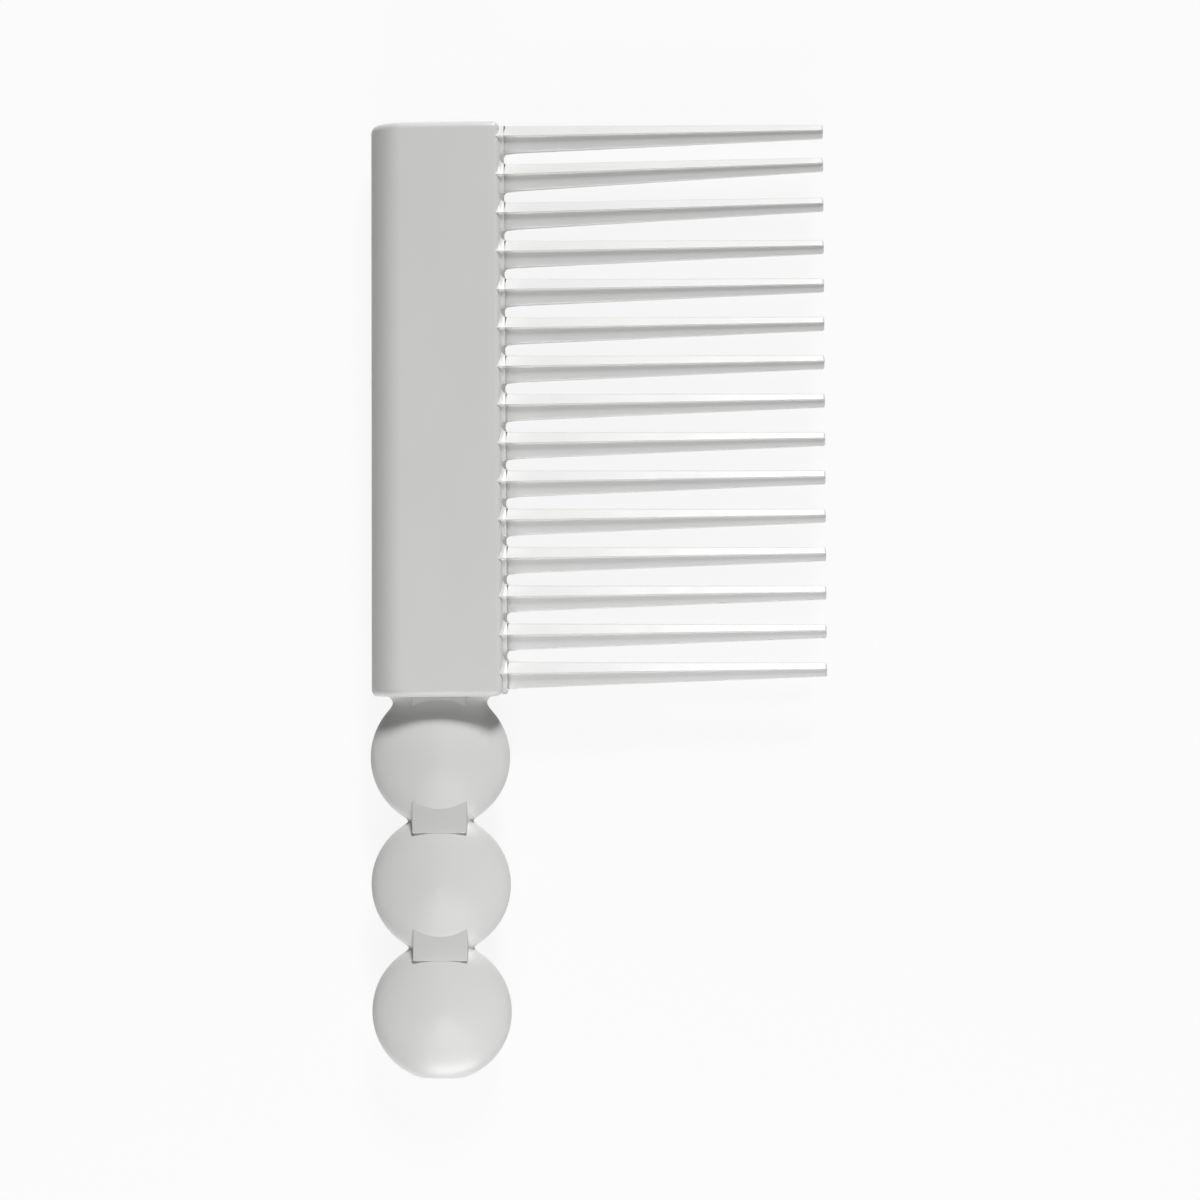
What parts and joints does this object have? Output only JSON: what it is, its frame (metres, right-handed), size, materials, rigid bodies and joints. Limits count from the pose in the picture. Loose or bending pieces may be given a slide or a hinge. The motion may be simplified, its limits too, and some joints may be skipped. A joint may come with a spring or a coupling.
{
  "type": "rake comb",
  "caption": "Hand-held detangling rake comb: a thick rounded back, long tapered ridged teeth to one side and a handle of flattened round beads.",
  "frame": {"origin": "middle of the comb's outline, on the surface that it lies on", "axes": "+X along the teeth, from the back's rounded edge to the tips; +Y along the back, from the handle to the far end; +Z out of the front face; the comb lies flat on the rear of its back"},
  "size_m": [0.1102, 0.2298, 0.017],
  "materials": {
    "back_plastic": "satin, moulded",
    "tooth_plastic": "satin, moulded",
    "bead_plastic": "satin, moulded",
    "neck_plastic": "satin, moulded"
  },
  "bodies": {
    "root": {"comb_back": "back_plastic", "tooth_01": "tooth_plastic", "tooth_02": "tooth_plastic", "tooth_03": "tooth_plastic", "tooth_04": "tooth_plastic", "tooth_05": "tooth_plastic", "tooth_06": "tooth_plastic", "tooth_07": "tooth_plastic", "tooth_08": "tooth_plastic", "tooth_09": "tooth_plastic", "tooth_10": "tooth_plastic", "tooth_11": "tooth_plastic", "tooth_12": "tooth_plastic", "tooth_13": "tooth_plastic", "tooth_14": "tooth_plastic", "tooth_15": "tooth_plastic", "bead_1": "bead_plastic", "bead_2": "bead_plastic", "bead_3": "bead_plastic", "neck_1": "neck_plastic", "neck_2": "neck_plastic", "neck_3": "neck_plastic"}
  },
  "joints": []
}
